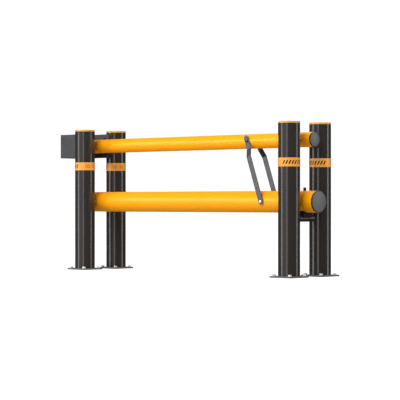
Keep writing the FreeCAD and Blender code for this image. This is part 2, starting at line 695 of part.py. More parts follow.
def make_rail(label, size, hub_outer, pivot_x, axis_z, slotted=False):
    """Rail tube with local X = 0 at its pivot, crossed by the hub tube and a link sleeve."""
    body = new_body(label)
    ring = new_sketch(body, "ring", "YZ_Plane", f"-dims.{size}_tail")
    add_circle(ring, f"dims.{size}_diameter")
    add_circle(ring, f"dims.{size}_diameter - 2 * dims.{size}_wall")
    pad(body, "tube", ring, f"dims.{size}_end_x - ({pivot_x}) + dims.{size}_tail")
    holes = new_sketch(body, "holes", "XZ_Plane")
    add_circle(holes, hub_outer)
    add_circle(holes, "dims.link_sleeve", "dims.link_reach")
    pocket(body, "cross_holes", holes, side="Symmetric")
    if slotted:
        slot = new_sketch(body, "slot", "XY_Plane")
        add_slot(slot, "dims.slot_length", "dims.slot_width", "dims.post_right_x - dims.post_left_x")
        pocket(body, "spigot_slots", slot, side="Symmetric")
    place(body, pivot_x, "0", axis_z)
    return keep(body)


def make_rail_cap(label, size, rim_width, dome, x, z, turn=None):
    """Plug for a rail end: skirt inside the tube, rim as wide as the tube, slightly domed face."""
    body = new_body(label)
    profile = new_sketch(body, "profile", "XZ_Plane")
    rim = f"dims.{size}_diameter / 2"
    skirt = f"({rim} - dims.{size}_wall - dims.plug_clearance)"
    skirt_inside = f"{skirt} - dims.skirt_wall"
    add_polygon(profile, [
        ("-dims.plug_depth", skirt_inside),
        ("-dims.plug_depth", skirt),
        ("0", skirt),
        ("0", rim),
        (rim_width, rim, "dome"),
        (f"{rim_width} + {dome}", "0"),
        ("0", "0"),
        ("0", skirt_inside),
    ])
    revolve(body, "shell", profile, "H_Axis")
    place(body, x, "0", z, turn)
    return keep(body)


def make_rails():
    upper, lower = "dims.upper_axis_z", "dims.lower_axis_z"
    turned = FreeCAD.Rotation(Z_AXIS, 180)
    make_rail("upper_rail", "upper", "dims.upper_hub_outer", UPPER_PIVOT_X, upper)
    make_rail("lower_rail", "lower", "dims.lower_hub_outer", LOWER_PIVOT_X, lower, slotted=True)
    make_rail_cap("upper_end_cap", "upper", "dims.rim_width", "dims.end_dome", "dims.upper_end_x", upper)
    make_rail_cap("lower_end_cap", "lower", "dims.rim_width", "dims.end_dome", "dims.lower_end_x", lower)
    make_rail_cap("upper_tail_cap", "upper", "dims.tail_rim_width", "dims.tail_dome",
                  f"{UPPER_PIVOT_X} - dims.upper_tail", upper, turned)
    make_rail_cap("lower_tail_cap", "lower", "dims.tail_rim_width", "dims.tail_dome",
                  f"{LOWER_PIVOT_X} - dims.lower_tail", lower, turned)
    keep(cylinder("counterweight", "dims.weight_diameter", "dims.weight_length",
                  f"{UPPER_PIVOT_X} - dims.upper_tail + dims.plug_depth + 1", "0", upper, ALONG_X))


# ---------------------------------------------------------------- link

def make_link_bar(label, side):
    """Cranked flat bar with local origin at its upper bolt and local Z along the bar."""
    body = new_body(label)
    sign = SIDES[side]
    crank_angle = "atan((dims.link_lower_y - dims.link_upper_y) / (dims.link_crank_end - dims.link_crank_start))"
    shift = f"dims.link_plate * tan({crank_angle} / 2)"
    foot = f"-({LINK_LENGTH}) - dims.link_foot_margin"
    corners = [
        ("dims.link_upper_y", "dims.link_top_margin"),
        ("dims.link_upper_y + dims.link_plate", "dims.link_top_margin"),
        ("dims.link_upper_y + dims.link_plate", f"-dims.link_crank_start + {shift}"),
        ("dims.link_lower_y + dims.link_plate", f"-dims.link_crank_end + {shift}"),
        ("dims.link_lower_y + dims.link_plate", foot),
        ("dims.link_lower_y", foot),
        ("dims.link_lower_y", "-dims.link_crank_end"),
        ("dims.link_upper_y", "-dims.link_crank_start"),
    ]
    profile = new_sketch(body, "profile", "YZ_Plane")
    add_polygon(profile, [(f"{sign} * ({across})", along) for across, along in corners])
    pad(body, "strip", profile, "dims.link_width", side="Symmetric")
    round_edges(body, "ends", "dims.link_end_round", lambda edge: is_parallel(edge, Y_AXIS))
    crank_low = -value("dims.link_crank_end + dims.link_plate")
    crank_high = -value("dims.link_crank_start - dims.link_plate")
    round_edges(body, "crank_bends", "dims.link_bend",
                lambda edge: is_parallel(edge, X_AXIS) and crank_low < edge.BoundBox.ZMin < crank_high)
    half_width = value("dims.link_width") / 2
    chamfer_edges(body, "long_edges", "dims.link_edge",
                  lambda edge: abs(abs(edge.BoundBox.XMin) - half_width) < 1e-6
                  and abs(edge.BoundBox.XMax - edge.BoundBox.XMin) < 1e-6)
    holes = new_sketch(body, "holes", "XZ_Plane")
    add_circle(holes, "dims.link_upper_hole")
    add_circle(holes, "dims.link_lower_hole", y=f"-({LINK_LENGTH})")
    pocket(body, "bolt_holes", holes, side="Symmetric")
    place(body, f"{UPPER_PIVOT_X} + dims.link_reach", "0", "dims.upper_axis_z",
          FreeCAD.Rotation(Y_AXIS, -value(LINK_TILT)))
    body.setExpression("Placement.Rotation.Angle", f"-{LINK_TILT}")
    return keep(body)


def make_link_fastening(level, bar_face, x, z):
    """Bolt through one rail and both bars, with its nut, two washers and the sleeve between the bars."""
    play = "dims.link_side_gap"
    outer = f"({bar_face} + dims.link_plate + {play})"
    washer_outer = f"({outer} + dims.link_washer_thickness)"
    shank_length = f"2 * {washer_outer} + dims.link_nut_height + 2"
    name = f"{level}_link"
    shank = cylinder(f"{name}_shank", "dims.link_bolt", shank_length, x, f"-{washer_outer}", z, ALONG_Y)
    head = hexagon(f"{name}_head", "dims.link_flats", "dims.link_head_height",
                   x, f"-{washer_outer} - dims.link_head_height", z, ALONG_Y)
    keep(fuse(f"{name}_bolt", shank, head))
    nut = hexagon(f"{name}_nut_hexagon", "dims.link_flats", "dims.link_nut_height",
                  x, washer_outer, z, ALONG_Y)
    thread = cylinder(f"{name}_nut_thread", "dims.link_bolt", "dims.link_nut_height + 2",
                      x, f"{washer_outer} - 1", z, ALONG_Y)
    keep(cut(f"{name}_nut", nut, thread))
    washers = []
    for side, start in (("front", f"-{washer_outer}"), ("rear", outer)):
        disc = cylinder(f"{name}_washer_disc_{side}", "dims.link_washer", "dims.link_washer_thickness",
                        x, start, z, ALONG_Y)
        hole = cylinder(f"{name}_washer_hole_{side}", "dims.link_bolt", "dims.link_washer_thickness + 2",
                        x, f"{start} - 1", z, ALONG_Y)
        washers.append(cut(f"{name}_washer_{side}", disc, hole))
    keep(group(f"{name}_washers", *washers))
    keep(tube(f"{name}_sleeve", "dims.link_sleeve", "dims.link_bolt", f"{bar_face} - {play}", x, z))


def make_link():
    make_link_bar("link_bar_front", "front")
    make_link_bar("link_bar_rear", "rear")
    make_link_fastening("upper", "dims.link_upper_y", f"{UPPER_PIVOT_X} + dims.link_reach", "dims.upper_axis_z")
    make_link_fastening("lower", "dims.link_lower_y", f"{LOWER_PIVOT_X} + dims.link_reach", "dims.lower_axis_z")


# ---------------------------------------------------------------- catch end

def make_rest():
    """Rest tube between the catch posts, the rod and nuts that hold it, and the rubber saddle."""
    x, z = "dims.post_right_x", "dims.rest_axis_z"
    outside = cross_rod("rest_tube_outside", "dims.rest_tube", "dims.rest_reach", x, z)
    inside = cross_rod("rest_tube_inside", "dims.rest_tube - 2 * dims.rest_wall", "dims.rest_reach + 1", x, z)
    posts = [
        cylinder(f"rest_tube_post_{side}", "dims.post_diameter", "2 * dims.rest_tube",
                 x, f"{sign} * dims.post_row_y", f"{z} - dims.rest_tube")
        for side, sign in SIDES.items()
    ]
    spigot_hole = cylinder("rest_tube_spigot_hole", "dims.spigot", "dims.rest_tube", x, "0", z)
    keep(cut("rest_tube", outside, inside, *posts, spigot_hole))
    keep(cross_rod("rest_tie_rod", "dims.tie_rod", "dims.tie_half", x, z))
    nuts = []
    for side, start in (("front", "-dims.tie_nut_y - dims.tie_nut_height"), ("rear", "dims.tie_nut_y")):
        body = hexagon(f"tie_nut_hexagon_{side}", "dims.tie_flats", "dims.tie_nut_height", x, start, z, ALONG_Y)
        hole = cylinder(f"tie_nut_thread_{side}", "dims.tie_rod", "dims.tie_nut_height + 2",
                        x, f"{start} - 1", z, ALONG_Y)
        nuts.append(cut(f"tie_nut_{side}", body, hole))
    keep(group("rest_tie_nuts", *nuts))

    blank = block("saddle_blank", "dims.saddle_length", "dims.saddle_width",
                  "dims.saddle_top - dims.saddle_bottom", f"{x} - dims.saddle_length / 2",
                  "-dims.saddle_width / 2", "dims.saddle_bottom")
    rail = cylinder("saddle_rail", "dims.lower_diameter + 2 * dims.rail_rest_gap",
                    "dims.saddle_length + 2 * dims.cut_margin",
                    f"{x} - dims.saddle_length / 2 - dims.cut_margin", "0", "dims.lower_axis_z", ALONG_X)
    bar = cross_rod("saddle_bar", "dims.rest_tube", "dims.saddle_width", x, z)
    hole = cylinder("saddle_hole", "dims.spigot", "2 * dims.rest_tube", x, "0", z)
    keep(cut("rail_saddle", blank, rail, bar, hole))


def make_spigot():
    """Upright lock pin on the rest tube, with a chamfered tip and a cross hole for a padlock."""
    body = new_body("lock_spigot")
    disc = new_sketch(body, "disc", "XY_Plane")
    add_circle(disc, "dims.spigot")
    pad(body, "pin", disc, "dims.spigot_top_z - dims.spigot_foot_z")
    tip_height = value("dims.spigot_top_z - dims.spigot_foot_z")
    chamfer_edges(body, "tip", "dims.spigot_chamfer",
                  lambda edge: abs(edge.BoundBox.ZMin - tip_height) < 1e-6)
    eye = new_sketch(body, "eye", "YZ_Plane")
    add_circle(eye, "dims.padlock_hole", y="dims.padlock_z - dims.spigot_foot_z")
    pocket(body, "padlock_eye", eye, side="Symmetric")
    place(body, "dims.post_right_x", "0", "dims.spigot_foot_z")
    return keep(body)


# ---------------------------------------------------------------- build, check and write

def check_document():
    """Stop if any object failed or any sub-part's shape can't be used."""
    for obj in doc.Objects:
        if "Invalid" in obj.State or "Error" in obj.State:
            raise RuntimeError(f"{obj.Label} failed: {obj.State}")
    labels = [part.Label for part in sub_parts]
    if len(set(labels)) != len(labels):
        raise RuntimeError("two sub-parts share a label")
    for part in sub_parts:
        if part.Shape.isNull() or not part.Shape.isValid() or not part.Shape.Solids:
            raise RuntimeError(f"{part.Label} has no valid solid")


make_posts()
make_bracket()
make_bracket_fixings()
make_stop()
make_upper_pivot()
make_lower_pivot()
make_rails()
make_link()
make_rest()
make_spigot()
doc.recompute()
check_document()

os.makedirs("parts", exist_ok=True)
for part in sub_parts:
    part.Shape.exportStep(f"parts/{part.Label}.step")
whole = Part.makeCompound([part.Shape for part in sub_parts]).BoundBox
print(f"{len(sub_parts)} sub-parts")
print(f"X {whole.XMin:.2f} {whole.XMax:.2f}  Y {whole.YMin:.2f} {whole.YMax:.2f}  Z {whole.ZMin:.2f} {whole.ZMax:.2f}")
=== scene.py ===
import json
import math

import bmesh
import bpy
from mathutils import Matrix, Vector


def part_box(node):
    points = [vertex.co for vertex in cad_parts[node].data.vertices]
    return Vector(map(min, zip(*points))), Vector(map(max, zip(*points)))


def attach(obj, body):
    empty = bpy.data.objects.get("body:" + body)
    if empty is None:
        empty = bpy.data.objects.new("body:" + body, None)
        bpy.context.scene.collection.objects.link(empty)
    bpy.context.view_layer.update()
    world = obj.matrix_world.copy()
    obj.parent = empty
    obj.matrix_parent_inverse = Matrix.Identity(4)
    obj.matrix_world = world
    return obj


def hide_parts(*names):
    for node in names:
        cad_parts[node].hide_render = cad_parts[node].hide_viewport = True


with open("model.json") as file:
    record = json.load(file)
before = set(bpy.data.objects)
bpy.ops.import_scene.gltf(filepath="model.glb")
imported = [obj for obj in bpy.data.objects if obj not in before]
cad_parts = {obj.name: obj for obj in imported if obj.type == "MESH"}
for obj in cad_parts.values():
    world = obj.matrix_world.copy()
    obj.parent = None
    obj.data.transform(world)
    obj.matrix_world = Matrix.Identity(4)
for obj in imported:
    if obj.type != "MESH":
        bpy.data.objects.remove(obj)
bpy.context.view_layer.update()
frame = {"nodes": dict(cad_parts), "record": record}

SIDES = ("front", "rear")
ENDS = ("left", "right")
POSTS = [f"{side}_{end}" for side in SIDES for end in ENDS]


# ---------------------------------------------------------------- sizes read from the frame

def centre(node):
    low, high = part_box(node)
    return (Vector(low) + Vector(high)) / 2


def extent(node):
    low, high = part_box(node)
    return Vector(high) - Vector(low)


POST_AXIS = {name: centre(f"base_plate_{name}") for name in POSTS}
PLATE_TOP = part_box("base_plate_front_left")[1].z
BAND_RADIUS = extent("post_band_front_left").x / 2


# ---------------------------------------------------------------- camera

def make_camera():
    """Level long-lens view from the catch end's front corner."""
    data = bpy.data.cameras.new("camera")
    data.lens = 158.95
    data.sensor_width = 36
    data.shift_y = 0.0046
    data.clip_end = 200
    camera = bpy.data.objects.new("camera", data)
    camera.location = (9.800, -9.636, 0.5475)
    camera.rotation_euler = (math.radians(90), 0, math.radians(45))
    bpy.context.collection.objects.link(camera)
    bpy.context.scene.camera = camera


# ---------------------------------------------------------------- light

LIGHT_TARGET = Vector((0, 0, 0.6))
# name: azimuth from +X towards +Y and elevation in degrees, distance, size, power in watts
LIGHTS = {
    "strip_left": (-125, 8, 12, (3.4, 9), 400),
    "strip_middle": (-65.8, 8, 12, (2.6, 9), 200),
    "strip_right": (39, 8, 12, (2.8, 9), 350),
    "front_glow": (-94, 8, 12.5, (8.5, 9), 140),
    "rail_soft": (-138, 19, 8, (6, 0.9), 180),
    "key": (-80, 48, 9, (6, 5), 740),
    "catch_end_fill": (-8, 40, 9, (5, 4), 330),
    "rear_fill": (115, 50, 9, (6, 5), 230),
}


def area_light(name, azimuth, elevation, distance, size, power):
    angle, rise = math.radians(azimuth), math.radians(elevation)
    offset = Vector((math.cos(angle) * math.cos(rise), math.sin(angle) * math.cos(rise), math.sin(rise)))
    data = bpy.data.lights.new(name, "AREA")
    data.shape = "RECTANGLE"
    data.size, data.size_y = size
    data.energy = power
    light = bpy.data.objects.new(name, data)
    light.location = LIGHT_TARGET + offset * distance
    light.rotation_euler = offset.to_track_quat("Z", "Y").to_euler()
    light.visible_camera = False
    bpy.context.collection.objects.link(light)


def make_world():
    """White backdrop for the eye, and a dark surround for reflections."""
    world = bpy.data.worlds.new("studio")
    bpy.context.scene.world = world
    world.use_nodes = True
    nodes, links = world.node_tree.nodes, world.node_tree.links
    nodes.clear()
    backdrop = nodes.new("ShaderNodeBackground")
    backdrop.inputs["Color"].default_value = (1, 1, 1, 1)
    backdrop.inputs["Strength"].default_value = 1.05
    surround = nodes.new("ShaderNodeBackground")
    surround.inputs["Color"].default_value = (0.98, 0.99, 1, 1)
    surround.inputs["Strength"].default_value = 0.035
    path = nodes.new("ShaderNodeLightPath")
    mix = nodes.new("ShaderNodeMixShader")
    output = nodes.new("ShaderNodeOutputWorld")
    links.new(path.outputs["Is Camera Ray"], mix.inputs[0])
    links.new(surround.outputs[0], mix.inputs[1])
    links.new(backdrop.outputs[0], mix.inputs[2])
    links.new(mix.outputs[0], output.inputs["Surface"])


def make_lights():
    for name, setting in LIGHTS.items():
        area_light(name, *setting)
    bpy.context.scene.view_settings.view_transform = "Standard"


def make_floor():
    """Pale floor: white to the eye with soft contact shadows, dimmer in what it throws back on the gate."""
    mesh = bpy.data.meshes.new("floor")
    half = 60
    corners = [(-half, -half, 0), (half, -half, 0), (half, half, 0), (-half, half, 0)]
    mesh.from_pydata(corners, [], [(0, 1, 2, 3)])
    floor = bpy.data.objects.new("floor", mesh)
    floor.visible_glossy = False
    bpy.context.collection.objects.link(floor)
    shader = Shader("studio_floor", (0.30, 0.30, 0.30), 0.9, specular=0.1)
    seen = shader.nodes.new("ShaderNodeLightPath").outputs["Is Camera Ray"]
    length = shader.nodes.new("ShaderNodeVectorMath")
    length.operation = "LENGTH"
    shader.links.new(shader.position, length.inputs[0])
    grain = shader.noise(35, 4.0)
    shader.blend_colour(shader.remap(grain, 0.3, 0.7, 0.0, 0.5), (0.28, 0.28, 0.28))
    shader.bsdf.inputs["Emission Color"].default_value = (1, 1, 1, 1)
    near, far, near_glow, far_glow, bounce = 2.2, 7.0, 0.86, 1.08, 0.36
    glow = shader.remap(length.outputs["Value"], near, far, near_glow, far_glow)
    shader.links.new(shader.math("MAXIMUM", shader.math("MULTIPLY", seen, glow), bounce),
                     shader.bsdf.inputs["Emission Strength"])
    mesh.materials.append(shader.material)


# ---------------------------------------------------------------- materials

class Shader:
    """A Principled material with short calls for its node work; coordinates are metres at rest."""

    def __init__(self, name, colour, roughness, metallic=0.0, specular=0.5):
        self.material = bpy.data.materials.new(name)
        self.material.use_nodes = True
        self.nodes = self.material.node_tree.nodes
        self.links = self.material.node_tree.links
        self.bsdf = self.nodes["Principled BSDF"]
        self.bsdf.inputs["Base Color"].default_value = (*colour, 1)
        self.bsdf.inputs["Roughness"].default_value = roughness
        self.bsdf.inputs["Metallic"].default_value = metallic
        self.bsdf.inputs["Specular IOR Level"].default_value = specular
        self.position = self.nodes.new("ShaderNodeTexCoord").outputs["Object"]
        self.height = None

    def stretched(self, scale):
        """Position scaled differently along each axis."""
        mapping = self.nodes.new("ShaderNodeMapping")
        mapping.inputs["Scale"].default_value = scale
        self.links.new(self.position, mapping.inputs["Vector"])
        return mapping.outputs["Vector"]

    def noise(self, scale, detail=3.0, rough=0.5, vector=None):
        node = self.nodes.new("ShaderNodeTexNoise")
        node.inputs["Scale"].default_value = scale
        node.inputs["Detail"].default_value = detail
        node.inputs["Roughness"].default_value = rough
        self.links.new(vector or self.position, node.inputs["Vector"])
        return node.outputs["Fac"]

    def cells(self, scale):
        node = self.nodes.new("ShaderNodeTexVoronoi")
        node.inputs["Scale"].default_value = scale
        self.links.new(self.position, node.inputs["Vector"])
        return node.outputs["Distance"]

    def remap(self, value, low, high, new_low, new_high):
        node = self.nodes.new("ShaderNodeMapRange")
        node.inputs["From Min"].default_value = low
        node.inputs["From Max"].default_value = high
        node.inputs["To Min"].default_value = new_low
        node.inputs["To Max"].default_value = new_high
        self.links.new(value, node.inputs["Value"])
        return node.outputs["Result"]

    def math(self, operation, first, second):
        node = self.nodes.new("ShaderNodeMath")
        node.operation = operation
        for socket, value in zip(node.inputs, (first, second)):
            if isinstance(value, (int, float)):
                socket.default_value = value
            else:
                self.links.new(value, socket)
        return node.outputs[0]

    def blend_colour(self, factor, other):
        """Mix another colour over what the base colour is now."""
        node = self.nodes.new("ShaderNodeMix")
        node.data_type = "RGBA"
        base = self.bsdf.inputs["Base Color"]
        if base.is_linked:
            self.links.new(base.links[0].from_socket, node.inputs["A"])
        else:
            node.inputs["A"].default_value = base.default_value
        node.inputs["B"].default_value = (*other, 1)
        self.links.new(factor, node.inputs["Factor"])
        self.links.new(node.outputs["Result"], base)

    def vary_roughness(self, value, low, high):
        self.links.new(self.remap(value, 0.3, 0.7, low, high), self.bsdf.inputs["Roughness"])

    def bump(self, value, strength, distance):
        node = self.nodes.new("ShaderNodeBump")
        node.inputs["Strength"].default_value = strength
        node.inputs["Distance"].default_value = distance
        self.links.new(value, node.inputs["Height"])
        if self.height is not None:
            self.links.new(self.height, node.inputs["Normal"])
        self.height = node.outputs["Normal"]
        self.links.new(self.height, self.bsdf.inputs["Normal"])


def shaded(colour, factor):
    return tuple(channel * factor for channel in colour)


def extruded_polymer(name, colour, roughness, lengthwise, tint=(1, 1, 1)):
    """Extruded tube: faint die lines along its length, slow colour drift, fine skin and light scuffs."""
    shader = Shader(name, colour, roughness)
    shader.bsdf.inputs["Specular Tint"].default_value = (*tint, 1)
    line_scale = tuple(0.4 if axis == lengthwise else 700 for axis in "xyz")
    lines = shader.noise(1.0, 2.0, 0.5, shader.stretched(line_scale))
    drift = shader.noise(1.7, 2.0)
    skin = shader.noise(1300, 2.0)
    scuff_scale = tuple(9 if axis == lengthwise else 60 for axis in "xyz")
    scuffs = shader.noise(1.0, 5.0, 0.62, shader.stretched(scuff_scale))
    shader.blend_colour(shader.remap(drift, 0.3, 0.7, 0.0, 0.25), shaded(colour, 0.86))
    shader.blend_colour(shader.remap(lines, 0.35, 0.65, 0.0, 0.10), shaded(colour, 1.15))
    shader.vary_roughness(scuffs, roughness * 0.94, roughness * 1.1)
    shader.bump(lines, 0.007, 0.0001)
    shader.bump(skin, 0.02, 0.0001)
    return shader


def moulded_polymer(name, colour, roughness):
    """Moulded part: fine spark-eroded grain and a slow change of tone."""
    shader = Shader(name, colour, roughness)
    drift = shader.noise(9, 3.0)
    skin = shader.noise(1400, 2.0, 0.6)
    shader.blend_colour(shader.remap(drift, 0.3, 0.7, 0.0, 0.4), shaded(colour, 0.78))
    shader.vary_roughness(skin, roughness * 0.9, roughness * 1.15)
    shader.bump(skin, 0.12, 0.0003)
    return shader


def powder_coat(name, colour, roughness, specular=0.45):
    """Powder coat on steel: orange peel, faint mottling and a few rubbed spots."""
    shader = Shader(name, colour, roughness, specular=specular)
    peel = shader.noise(330, 2.0, 0.45)
    mottling = shader.noise(26, 4.0, 0.6)
    rubbed = shader.noise(70, 6.0, 0.7)
    shader.blend_colour(shader.remap(mottling, 0.3, 0.7, 0.0, 0.45), shaded(colour, 0.8))
    shader.blend_colour(shader.remap(rubbed, 0.64, 0.74, 0.0, 0.35), shaded(colour, 1.5))
    shader.vary_roughness(mottling, roughness * 0.85, roughness * 1.2)
    shader.bump(peel, 0.16, 0.0006)
    return shader


def plated_steel(name, colour, roughness, metallic=1.0):
    """Zinc plate: crystalline patches and dull spots."""
    shader = Shader(name, colour, roughness, metallic=metallic)
    patches = shader.cells(420)
    dull = shader.noise(160, 4.0, 0.6)
    shader.blend_colour(shader.remap(patches, 0.1, 0.9, 0.0, 0.3), shaded(colour, 0.72))
    shader.blend_colour(shader.remap(dull, 0.55, 0.75, 0.0, 0.4), shaded(colour, 0.6))
    shader.vary_roughness(dull, roughness * 0.75, roughness * 1.5)
    shader.bump(dull, 0.08, 0.0003)
    return shader


def soft_rubber(name, colour):
    """Matt rubber: pores and a pale bloom."""
    shader = Shader(name, colour, 0.78, specular=0.25)
    bloom = shader.noise(60, 5.0, 0.65)
    pores = shader.cells(1100)
    shader.blend_colour(shader.remap(bloom, 0.45, 0.75, 0.0, 0.35), shaded(colour, 2.2))
    shader.vary_roughness(bloom, 0.68, 0.9)
    shader.bump(pores, 0.2, 0.0004)
    return shader


def rim_of(shader, middle, radius, colour):
    """Darken a round cap outside a radius of an axis along X through the middle."""
    blur = 0.001
    offset = shader.nodes.new("ShaderNodeVectorMath")
    offset.operation = "SUBTRACT"
    offset.inputs[1].default_value = middle
    flat = shader.nodes.new("ShaderNodeVectorMath")
    flat.operation = "MULTIPLY"
    flat.inputs[1].default_value = (0, 1, 1)
    length = shader.nodes.new("ShaderNodeVectorMath")
    length.operation = "LENGTH"
    shader.links.new(shader.position, offset.inputs[0])
    shader.links.new(offset.outputs[0], flat.inputs[0])
    shader.links.new(flat.outputs[0], length.inputs[0])
    shader.blend_colour(shader.remap(length.outputs["Value"], radius - blur, radius + blur, 0, 1), colour)
    return shader


def make_materials():
    """One material for each of the record's slots, the post caps and the dark-rimmed rail caps."""
    anthracite = (0.0270, 0.0235, 0.0212)
    signal = (0.95, 0.355, 0.003)
    cap_grey = (0.098, 0.103, 0.105)
    rim_black = (0.012, 0.012, 0.012)
    return {
        "post_tube": extruded_polymer("post_polymer", anthracite, 0.18, "z"),
        "rail_tube": extruded_polymer("rail_polymer", signal, 0.34, "x", tint=(1, 0.82, 0.33)),
        "yellow_trim": moulded_polymer("yellow_trim", (0.80, 0.335, 0.036), 0.36),
        "post_cap": moulded_polymer("post_cap_yellow", (0.62, 0.335, 0.060), 0.42),
        "end_cap": moulded_polymer("end_cap_grey", cap_grey, 0.42),
        "upper_rail_cap": rim_of(moulded_polymer("upper_cap_grey", cap_grey, 0.42),
                                 centre("upper_end_cap"), 0.0505, rim_black),
        "lower_rail_cap": rim_of(moulded_polymer("lower_cap_grey", cap_grey, 0.42),
                                 centre("lower_end_cap"), 0.0750, rim_black),
        "bush_plastic": moulded_polymer("bush_plastic", (0.72, 0.70, 0.62), 0.45),
        "band_mark": moulded_polymer("band_mark", (0.020, 0.012, 0.007), 0.4),
        "band_note": moulded_polymer("band_note", (0.36, 0.11, 0.012), 0.4),
        "base_plate": powder_coat("plate_coat", (0.10, 0.10, 0.105), 0.42),
        "bracket_steel": powder_coat("bracket_coat", (0.026, 0.0275, 0.03), 0.42, 0.5),
        "link_steel": powder_coat("link_coat", (0.026, 0.027, 0.029), 0.30, 0.6),
        "rest_steel": powder_coat("rest_coat", (0.028, 0.028, 0.03), 0.36),
        "hidden_steel": plated_steel("turned_steel", (0.52, 0.52, 0.53), 0.34),
        "zinc_fastener": plated_steel("zinc_plate", (0.86, 0.86, 0.84), 0.36, 0.45),
        "dark_fastener": plated_steel("black_zinc", (0.10, 0.10, 0.10), 0.4),
        "rubber": soft_rubber("black_rubber", (0.014, 0.014, 0.014)),
    }


NODE_FINISH = {
    "upper_end_cap": "upper_rail_cap", "upper_tail_cap": "upper_rail_cap",
    "lower_end_cap": "lower_rail_cap", "lower_tail_cap": "lower_rail_cap",
    **{f"post_cap_{name}": "post_cap" for name in POSTS},
}


def finish_piece(piece, body, shader, replaced=()):
    """Material and body of a new piece, and the CAD nodes it stands for."""
    piece.data.materials.append(shader.material)
    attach(piece, body)
    if replaced:
        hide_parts(*replaced)


def paint_cad_nodes(materials):
    for entry in frame["record"]["subparts"]:
        node = frame["nodes"][entry["node"]]
        material = materials[NODE_FINISH.get(entry["node"], entry["material_slot"])].material
        if node.data.materials:
            for index in range(len(node.data.materials)):
                node.data.materials[index] = material
        else:
            node.data.materials.append(material)


# ---------------------------------------------------------------- pieces

CREASE = 32             # degrees between two faces that makes their edge sharp


class Solid:
    """Closed shells of one piece, each swept through a row of rings with the same number of points."""

    def __init__(self):
        self.vertices = []
        self.faces = []

    def sweep(self, rings, placement=Matrix(), loop=False):
        """Join each ring to the next; the ends are closed, or joined to each other in a loop."""
        first, count = len(self.vertices), len(rings[0])
        for ring in rings:
            self.vertices += [tuple(placement @ Vector(point)) for point in ring]
        joins = len(rings) if loop else len(rings) - 1
        for row in range(joins):
            low = first + row * count
            high = first + (row + 1) % len(rings) * count
            for step in range(count):
                after = (step + 1) % count
                self.faces.append((low + step, low + after, high + after, high + step))
        if not loop:
            last = first + (len(rings) - 1) * count
            self.faces.append(tuple(range(first + count - 1, first - 1, -1)))
            self.faces.append(tuple(range(last, last + count)))

    def piece(self, name):
        mesh = bpy.data.meshes.new(name)
        mesh.from_pydata(self.vertices, [], self.faces)
        work = bmesh.new()
        work.from_mesh(mesh)
        bmesh.ops.recalc_face_normals(work, faces=work.faces)
        work.to_mesh(mesh)
        work.free()
        mesh.shade_smooth()
        mesh.set_sharp_from_angle(angle=math.radians(CREASE))
        piece = bpy.data.objects.new(name, mesh)
        bpy.context.collection.objects.link(piece)
        return piece


AROUND = 48             # points of a ring
HEX_CORNER = 8          # steps round the ring between two corners of a hexagon
COUNTERSINK = math.tan(math.radians(30))
HEX_FACE = 0.475        # radius of a chamfer's inner circle, by the width across flats
UNDERCUT = 0.0004       # depth of the step under a bolt head
THREAD_DEPTH = 0.5      # by the pitch
THREAD_ROWS = 6         # rings in one turn of thread
RUN_IN, RUN_OUT = 3, 4  # rings over which a thread starts and its tip narrows
TIP_CUT = 0.9           # depth of the tip's taper, by the thread's depth


def along(origin, direction):
    """Placement that puts a shape's own Z along a direction."""
    turn = Vector(direction).to_track_quat("Z", "Y").to_matrix().to_4x4()
    return Matrix.Translation(Vector(origin)) @ turn


def ring(radius, height):
    """Round ring; the radius and the height may be functions of the step round it."""
    points = []
    for step in range(AROUND):
        angle = math.tau * step / AROUND
        reach = radius(step) if callable(radius) else radius
        rise = height(step) if callable(height) else height
        points.append((reach * math.cos(angle), reach * math.sin(angle), rise))
    return points


def hex_reach(flats):
    """Distance from the axis to a hexagon's side, by the step round the ring."""
    def reach(step):
        off_flat = math.tau * ((step % HEX_CORNER) - HEX_CORNER / 2) / AROUND
        return flats / 2 / math.cos(off_flat)
    return reach


def hex_rings(flats, low, high, chamfer_low=False):
    """Side of a hexagon with its corners turned off by a cone at the top, or at both ends."""
    reach, face = hex_reach(flats), flats * HEX_FACE

    def drop(step):
        return (reach(step) - face) * COUNTERSINK

    if chamfer_low:
        foot = [ring(face, low), ring(reach, lambda step: low + drop(step))]
    else:
        foot = [ring(face, low), ring(face, low + UNDERCUT), ring(reach, low + UNDERCUT)]
    return foot + [ring(reach, lambda step: high - drop(step)), ring(face, high)]


def thread_rings(radius, pitch, low, high):
    """Helical thread from low to high, run out at its far end."""
    depth = pitch * THREAD_DEPTH
    rows = max(RUN_OUT, round((high - low) / pitch * THREAD_ROWS))
    rings = []
    for row in range(rows + 1):
        height = low + (high - low) * row / rows
        fade = min(1, row / RUN_IN)
        tip = depth * TIP_CUT * max(0, 1 - (rows - row) / RUN_OUT)

        def reach(step, height=height, fade=fade, tip=tip):
            phase = (height / pitch - step / AROUND) % 1
            groove = depth * fade * (1 - abs(2 * phase - 1))
            return radius - max(groove, tip)

        rings.append(ring(reach, height))
    return rings


def hex_bolt(solid, placement, flats, head, radius, pitch, thread_start, length):
    """Hex head bolt whose head begins at the placement and whose tip is a length away."""
    shape = list(reversed([[(x, y, head - z) for x, y, z in row] for row in hex_rings(flats, 0, head)]))
    shape += [ring(radius, head), ring(radius, thread_start)]
    solid.sweep(shape + thread_rings(radius, pitch, thread_start, length), placement)


def hex_nut(solid, placement, flats, height, bore):
    """Nut chamfered at both ends, with a countersunk bore."""
    lead = height * 0.06
    edge = bore + lead
    shape = [ring(bore, lead), ring(edge, 0)] + hex_rings(flats, 0, height, chamfer_low=True)
    solid.sweep(shape + [ring(edge, height), ring(bore, height - lead)], placement, loop=True)


def washer(solid, placement, outer, bore, thickness):
    """Washer with bevelled outer edges; outer and bore are radii."""
    bevel = thickness * 0.2
    solid.sweep([ring(bore, 0), ring(outer - bevel, 0), ring(outer, bevel), ring(outer, thickness - bevel),
                 ring(outer - bevel, thickness), ring(bore, thickness)], placement, loop=True)


